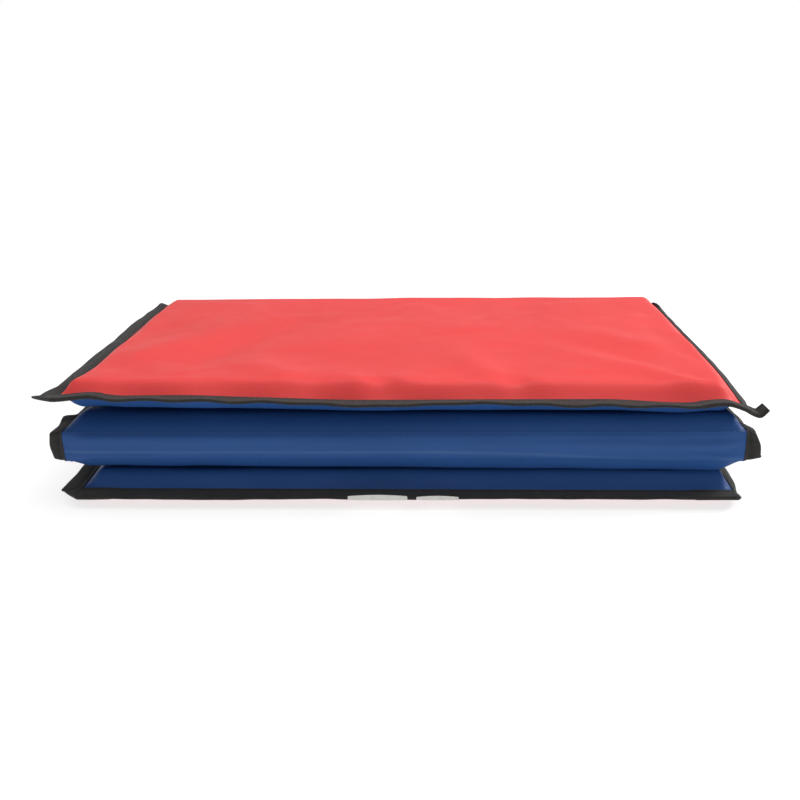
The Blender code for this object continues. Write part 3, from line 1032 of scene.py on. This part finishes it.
def side_route(panel, fold, to_back):
    """Points along a side seam from the panel's middle to its loose corner, or round to a fold's middle."""
    direction = 1.0 if to_back else -1.0
    end = panel.front if fold is None else fold.seam - direction * FOLD_BEND
    ys = np.linspace(panel.middle, end, round(abs(end - panel.middle) / TAPE_STEP) + 1)
    zs = np.full(len(ys), panel.level)
    ups = np.tile((0.0, 0.0, 1.0), (len(ys), 1))
    if fold is None:
        return ys, zs, ups
    turn_to = fold.turn_from(panel)
    angles = np.linspace(0, math.pi / 2, BEND_TURNS + 1)[1:]
    heights = np.linspace(panel.level + turn_to * FOLD_BEND, fold.middle, STRIP_STATIONS + 1)[1:]
    turned = [(0.0, -direction * turn_to * math.sin(a), math.cos(a)) for a in angles]
    ys = np.concatenate([ys, end + direction * FOLD_BEND * np.sin(angles), np.full(len(heights), fold.seam)])
    zs = np.concatenate([zs, panel.level + turn_to * FOLD_BEND * (1 - np.cos(angles)), heights])
    ups = np.concatenate([ups, turned, np.tile(turned[-1], (len(heights), 1))])
    return ys, zs, ups


def waves_along(kinds, seed, place):
    """The sum of a tape's waves of different lengths."""
    return sum(angle * ripples(seed + step, length, place) for angle, step, length in kinds)


def settle(line, near, lift):
    """Brings the tape flat and to one angle where near is 1."""
    line.lift = line.lift * (1 - near) + lift * near
    line.curl = line.curl * (1 - near)


def settle_at_fold(line, zs, fold, panel, side):
    """Tilts and tucks in the tape where it rounds a fold, and lets it bow out in the middle of the strip."""
    from_middle = line.length[-1] - line.length
    near = 1 - smooth((from_middle - FOLD_NEAR) / FOLD_SETTLE)
    foot, head = FOLD_TUCK[side]
    up_strip = np.clip((zs - fold.low) / (fold.high - fold.low), 0, 1)
    tucked = foot + (head - foot) * up_strip
    line.reach = line.reach * (1 - near) + TAPE_REACH * tucked * near
    line.reach = line.reach + FOLD_BOW * smooth(1 - from_middle / BOW_REACH)
    settle(line, near, 0.0 if fold.is_rear else fold.turn_from(panel) * FOLD_TILT)
    if panel.name == "upper_middle" and not fold.is_rear:
        line.lift += KINK[side] * bump_at(from_middle, KINK_PLACE[side], KINK_WIDTH)
    if panel.name == "top":
        off_strip = smooth(from_middle / REAR_START)
        line.lift += REAR_TIP[side] * bump_at(from_middle, REAR_PLACE, REAR_SPREAD[side]) * off_strip
        line.reach *= 1 - REAR_NARROW[side] * bump_at(from_middle, NARROW_PLACE, NARROW_WIDTH) * off_strip


def settle_at_corner(line, ys, panel, side):
    """Lays the tape under the end tape at a loose corner, narrower on the right so that it stays hidden."""
    near = smooth(1 - (ys - panel.front) / CORNER_SETTLE)
    line.origin[-1, 1] -= CORNER_OVERHANG
    if side > 0:
        line.reach *= 1 - CORNER_NARROW * near
    settle(line, near, CORNER_LIFT[panel.name, side])


def side_line(panel, side, to_back):
    """The tape's line along half of one side, with its hang and waves, which don't reach the fold."""
    fold = panel.folds.get(to_back)
    ys, zs, ups = side_route(panel, fold, to_back)
    xs = side * side_edge(panel, side, ys)
    line = TapeLine(np.stack([xs, ys, zs], axis=1), np.tile((side, 0.0, 0.0), (len(ys), 1)), ups)
    seed = 100 + 10 * panel.index + (1 if side > 0 else 0)
    waves = waves_along(SIDE_WAVES, seed, ys) * (TOP_WAVE_SHARE if panel.name == "top" else 1.0)
    hang = HANG[panel.name, side]
    line.lift = waves - HANG_LIFT * hang
    line.curl = SIDE_CURL_SHARE * waves - HANG_CURL * hang
    line.reach = TAPE_REACH * (1 + SIDE_UNEVEN * ripples(seed + 7, SIDE_UNEVEN_LENGTH, ys))
    line.origin[:, 2] += free_end_lift(xs, ys, panel) + side_raise(xs, ys, panel)
    if (panel.name, side) == ("bottom", -1):
        line.reach = line.reach + (HALF_WIDTH - np.abs(xs)) / 2
    if fold is None:
        settle_at_corner(line, ys, panel, side)
    else:
        settle_at_fold(line, zs, fold, panel, side)
    if (panel.name, side) == ("top", -1):
        line.lift += TOP_DIP_LIFT * behind_corner(ys, panel)
    return line


def follow_side(piece, panel, side, to_back):
    """Joins a piece of side binding to its panel where it ends at a loose corner; where it rounds a fold,
    only sets its place into its points.
    """
    fold = panel.folds.get(to_back)
    if fold is None:
        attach(piece, panel.body)
        return
    reach = FOLD_BLEND_REACH * FOLD_BEND
    end = (0, fold.seam, panel.level + fold.turn_from(panel) * reach)
    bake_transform(piece)


def add_side_tape(panel, side, to_back):
    line = side_line(panel, side, to_back)
    side_name = "right" if side > 0 else "left"
    end_name = "rear" if to_back else "front"
    tape = add_tape(f"{panel.name}_{side_name}_binding_{end_name}", line)
    follow_side(tape, panel, side, to_back)
    nodes = [f"{panel.name}_{side_name}_binding"]
    fold = panel.folds.get(to_back)
    if fold is not None:
        nodes.append(f"{fold.name}_{side_name}_binding")
    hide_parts(*nodes)
    stitches = add_stitches(f"{panel.name}_{side_name}_{end_name}_stitching", *tape_rows(line))
    follow_side(stitches, panel, side, to_back)


def tail_route(panel, side):
    """Beyond a corner, the end tape's tail: how far out and up it goes, and its slope, at each station."""
    length = TAIL[panel.name, side]
    past = np.linspace(0, length, round(length / TAIL_STEP) + 1)[1:]
    slope = np.full(len(past), TAIL_SLOPE[panel.name, side])
    if (panel.name, side) == ("top", 1):
        slope = slope + HOOK_TURN * smooth((past - HOOK_START) / HOOK_REACH)
    step = past[1] - past[0]
    return past, np.cumsum(np.cos(slope)) * step, np.cumsum(np.sin(slope)) * step, slope


def end_stations(panel):
    """Along a loose end and its tails: place across, height, how far past a corner, and slope."""
    edges = {side: side_edge(panel, side, np.array([panel.front]))[0] for side in (-1, 1)}
    xs = np.linspace(-edges[-1], edges[1], END_STATIONS)
    past, slope = np.zeros(len(xs)), np.zeros(len(xs))
    zs = panel.level + free_end_lift(xs, np.full(len(xs), panel.front), panel)
    for side in (-1, 1):
        order = slice(None, None, side)
        beyond, out, rise, turned = tail_route(panel, side)
        tail_x, tail_z = side * (edges[side] + out), zs[-1 if side > 0 else 0] + rise
        pieces = [(xs, tail_x), (zs, tail_z), (past, beyond * side), (slope, side * turned)]
        joined = [np.concatenate([a, b[order]] if side > 0 else [b[order], a]) for a, b in pieces]
        xs, zs, past, slope = joined
    return xs, zs, past, slope


def shape_tails(line, panel, past):
    """Tapers the tape's tails to a point, apart from the top's right one, which ends cut square."""
    for side in (-1, 1):
        beyond = np.clip(side * past / TAIL[panel.name, side], 0, 1)
        line.start -= TAIL_START * smooth(beyond / TAIL_STARTS_OVER) * (1 - beyond)
        if (panel.name, side) == ("top", 1):
            line.reach *= 1 - HOOK_NARROW * smooth(beyond / HOOK_NARROWS_OVER)
            line.fullness *= 1 - HOOK_THIN * beyond
        else:
            line.reach *= np.where(beyond > 0, np.clip(1 - beyond, TAIL_POINT, 1) ** TAIL_TAPER, 1)
            line.fullness *= 1 - TAIL_THIN * beyond


def end_line(panel):
    """The tape across a loose end: over the side tapes at the corners, and on into its two tails."""
    xs, zs, past, slope = end_stations(panel)
    origin = np.stack([xs, np.full(len(xs), panel.front), zs], axis=1)
    ups = np.stack([-np.sin(slope), np.zeros(len(xs)), np.cos(slope)], axis=1)
    line = TapeLine(origin, np.tile((0.0, -1.0, 0.0), (len(xs), 1)), ups)
    seed = 140 + panel.index
    at_end = np.abs(xs) > LAP_FROM
    line.fullness = 1 + LAP_FULLNESS * smooth((np.abs(past) + LAP_START) / LAP_REACH) * at_end
    line.reach = TAPE_REACH * (1 + END_UNEVEN * ripples(seed, END_UNEVEN_LENGTH, xs))
    shape_tails(line, panel, past)
    lift, lift_right, curl, lift_waves, curl_waves = END_LIE[panel.name]
    inward = 1 - smooth((np.abs(xs) - HALF_WIDTH + WAVE_MARGIN) / WAVE_MARGIN)
    waves = waves_along(END_WAVES, seed, xs) * inward
    line.lift = waves * lift_waves + lift + lift_right * xs / HALF_WIDTH
    line.curl = waves * curl_waves + curl
    if panel.name == "top":
        line.lift -= TOP_CORNER_DROP * smooth((xs - HALF_WIDTH + DROP_START) / DROP_REACH)
    return line


def add_end_tape(panel):
    line = end_line(panel)
    tape = add_tape(f"{panel.name}_free_end_binding", line)
    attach(tape, panel.body)
    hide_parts(f"{panel.name}_end_binding")
    stitches = add_stitches(f"{panel.name}_free_end_stitching", *tape_rows(line))
    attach(stitches, panel.body)


# ---- Stitches -------------------------------------------------------------------------------------------


def at_lengths(length, places, *tables):
    """Reads each table of station points at places between the stations."""
    return [
        np.stack([np.interp(places, length, table[:, axis]) for axis in range(3)], axis=1)
        for table in tables
    ]


def tape_rows(line):
    """Where stitches lie on both faces of a tape: their middles, and the directions along and off it."""
    middles, alongs, offs = [], [], []
    places = np.arange(STITCH_STEP, line.length[-1] - STITCH_STEP, STITCH_STEP)
    share = TAPE_STITCH_LINE / TAPE_REACH
    half = tape_half(share)
    for face in (1, -1):
        on_tape = line.at(share, face * (half + THREAD_RADIUS * TAPE_ROW_SHARE))
        above = line.at(share, face * (half + 2 * THREAD_RADIUS))
        middle, off = at_lengths(line.length, places, on_tape, above - on_tape)
        (ahead,) = at_lengths(line.length, places + STITCH_LENGTH / 2, on_tape)
        middles.append(middle)
        alongs.append(ahead - middle)
        offs.append(off)
    return np.concatenate(middles), np.concatenate(alongs), np.concatenate(offs)


def unit(vectors):
    return vectors / np.linalg.norm(vectors, axis=1, keepdims=True)


def add_stitches(name, middles, alongs, offs, thread="black_thread"):
    """Short rounded stitches, each dipping into the cloth at both ends."""
    turns = np.linspace(0, 2 * math.pi, STITCH_SIDES + 1)[:-1]
    along, off = unit(alongs), unit(offs)
    beside = np.cross(along, off)
    rings = []
    for place, thickness, rise in STITCH_RINGS:
        for turn in turns:
            radius = THREAD_RADIUS * thickness
            point = middles + along * (place * STITCH_LENGTH / 2)
            point = point + off * (rise * THREAD_RADIUS + radius * math.sin(turn))
            rings.append(point + beside * radius * math.cos(turn))
    points = np.stack(rings, axis=1)
    count, ring = len(STITCH_RINGS), len(turns)
    single = grid_faces(count, ring, close_columns=True)
    single += [tuple(range(ring)), tuple(range(count * ring - 1, (count - 1) * ring - 1, -1))]
    faces = [
        tuple(stitch * count * ring + point for point in face)
        for stitch in range(len(middles))
        for face in single
    ]
    stitches = new_object(name, points, faces, materials[thread], STITCH_ANGLE)
    return stitches


def add_fold_stitches(fold):
    """The rows of stitches along a fold's two seams, on its outer and its inner sheet."""
    for seam_name, level, up in (("lower", fold.low, -1.0), ("upper", fold.high, 1.0)):
        reach = HALF_WIDTH + fold.flare - SEAM_END
        xs = np.arange(-reach, reach, STITCH_STEP)
        for sheet, colour in (("outer", fold.outer_colour), ("inner", fold.inner_colour)):
            facing = fold.outward if sheet == "outer" else -fold.outward
            off = np.array([0.0, facing, up if sheet == "outer" else -up])
            lying = OUTER_ROW_SHARE * THREAD_RADIUS if sheet == "outer" else RIM_RISE / 2
            middle = np.stack([xs, np.full(len(xs), fold.seam), np.full(len(xs), level)], axis=1)
            middle = middle + off * lying
            alongs = np.tile((1.0, 0.0, 0.0), (len(xs), 1))
            name = f"{fold.name}_{seam_name}_seam_{sheet}_stitching"
            stitches = add_stitches(name, middle, alongs, np.tile(off, (len(xs), 1)), f"{colour}_thread")
            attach(stitches, fold.name)
            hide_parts(f"{fold.name}_{seam_name}_seam_thread")


# ---- Labels ---------------------------------------------------------------------------------------------


def label_points(low, high, curl, front, level):
    """Rows across a label from its left end to its right, each running out from under the tape and up."""
    stations = np.linspace(0, 1, LABEL_COLUMNS)
    knots = np.linspace(0, 1, len(LABEL_TUCKED))
    rows = []
    for share in np.linspace(0, 1, LABEL_ROWS):
        full = (LABEL_END_CURL + LABEL_MIDDLE_CURL * math.sin(math.pi * share)) * curl
        profile = np.array(LABEL_TUCKED) * (1 - full) + np.array(LABEL_CURLED) * full
        out, drop = (np.interp(stations, knots, column) for column in profile.T)
        x = np.full(len(stations), low + share * (high - low))
        rows.append(np.stack([x, front - out, level - drop], axis=1))
    return np.stack(rows)


def add_label(node):
    """A blank cloth label sewn in under the bottom binding, curling up in front of it, most in its middle."""
    low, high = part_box(node)
    width = high.x - low.x
    bottom = PANEL_LIST[0]
    points = label_points(low.x, high.x, LABEL_CURL[node], bottom.front, bottom.level)
    label = new_object(f"{node}_cloth", points, grid_faces(*points.shape[:2]), materials["label"])
    across, along = np.linspace(0, width, LABEL_ROWS), np.linspace(0, LABEL_DEPTH, LABEL_COLUMNS)
    set_uv(label, [(x, y) for x in across for y in along])
    thicken(label, LABEL_SHEET)
    add_subdivision(label)
    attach(label, bottom.body)
    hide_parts(node)


# ---- Floor, light and camera ----------------------------------------------------------------------------


def add_floor():
    corners = [(-1, -1), (1, -1), (1, 1), (-1, 1)]
    points = [(x * FLOOR_HALF, y * FLOOR_HALF, 0) for x, y in corners]
    floor = new_object("floor", points, [(0, 1, 2, 3)], floor_material())
    floor.location.z = -FLOOR_DROP


def add_light(name, place, size, power):
    data = bpy.data.lights.new(name, "AREA")
    data.shape, data.size, data.energy = "DISK", size, power
    light = bpy.data.objects.new(name, data)
    light.location = place
    light.rotation_euler = (Vector(LIGHT_TARGET) - Vector(place)).to_track_quat("-Z", "Y").to_euler()
    bpy.context.scene.collection.objects.link(light)


def add_world():
    """A studio dome: white near the horizon as a backdrop, dim above it, and bright overhead."""
    world = bpy.data.worlds.new("studio")
    world.use_nodes = True
    tree = world.node_tree
    place = tree.nodes.new("ShaderNodeTexCoord")
    split = tree.nodes.new("ShaderNodeSeparateXYZ")
    ramp = tree.nodes.new("ShaderNodeValToRGB")
    tree.links.new(place.outputs["Generated"], split.inputs[0])
    tree.links.new(split.outputs["Z"], ramp.inputs["Fac"])
    tree.links.new(ramp.outputs["Color"], tree.nodes["Background"].inputs["Color"])
    elements = ramp.color_ramp.elements
    while len(elements) < len(SKY):
        elements.new(0.5)
    for element, (height, brightness) in zip(elements, SKY):
        element.position = height
        element.color = (brightness, brightness, brightness, 1.0)
    tree.nodes["Background"].inputs["Strength"].default_value = 1.0
    bpy.context.scene.world = world


def add_camera():
    """The camera stands in front and above, and is turned by a yaw, a pitch down and a slight roll."""
    ahead = Vector((
        math.sin(CAMERA_YAW) * math.cos(CAMERA_PITCH),
        math.cos(CAMERA_YAW) * math.cos(CAMERA_PITCH),
        -math.sin(CAMERA_PITCH),
    ))
    level_right = Vector((math.cos(CAMERA_YAW), -math.sin(CAMERA_YAW), 0.0))
    level_up = level_right.cross(ahead)
    right = level_right * math.cos(CAMERA_ROLL) + level_up * math.sin(CAMERA_ROLL)
    up = right.cross(ahead)
    data = bpy.data.cameras.new("camera")
    data.lens = CAMERA_LENS
    data.clip_start = CAMERA_NEAR
    camera = bpy.data.objects.new("camera", data)
    bpy.context.scene.collection.objects.link(camera)
    turn = Matrix((right, up, -ahead)).transposed().to_4x4()
    camera.matrix_world = Matrix.Translation(CAMERA_PLACE) @ turn
    bpy.context.scene.camera = camera


# ---- The whole mat --------------------------------------------------------------------------------------

PANEL_LIST = [Panel(index) for index in range(len(PANELS))]
FOLD_LIST = [Fold(index) for index in range(len(FOLDS))]

bpy.context.scene.view_settings.view_transform = "Standard"
add_camera()
add_world()
for light in LIGHTS:
    add_light(*light)
add_floor()
simulate_wrinkles()
for panel in PANEL_LIST:
    add_foam(panel)
    for side in (1, -1):
        add_cover(panel, side)
        for to_back in (False, True):
            add_side_tape(panel, side, to_back)
    if panel.free_front:
        add_end_tape(panel)
for fold in FOLD_LIST:
    for is_outer in (True, False):
        add_strip(fold, is_outer)
    add_fold_stitches(fold)
for node in LABEL_CURL:
    add_label(node)
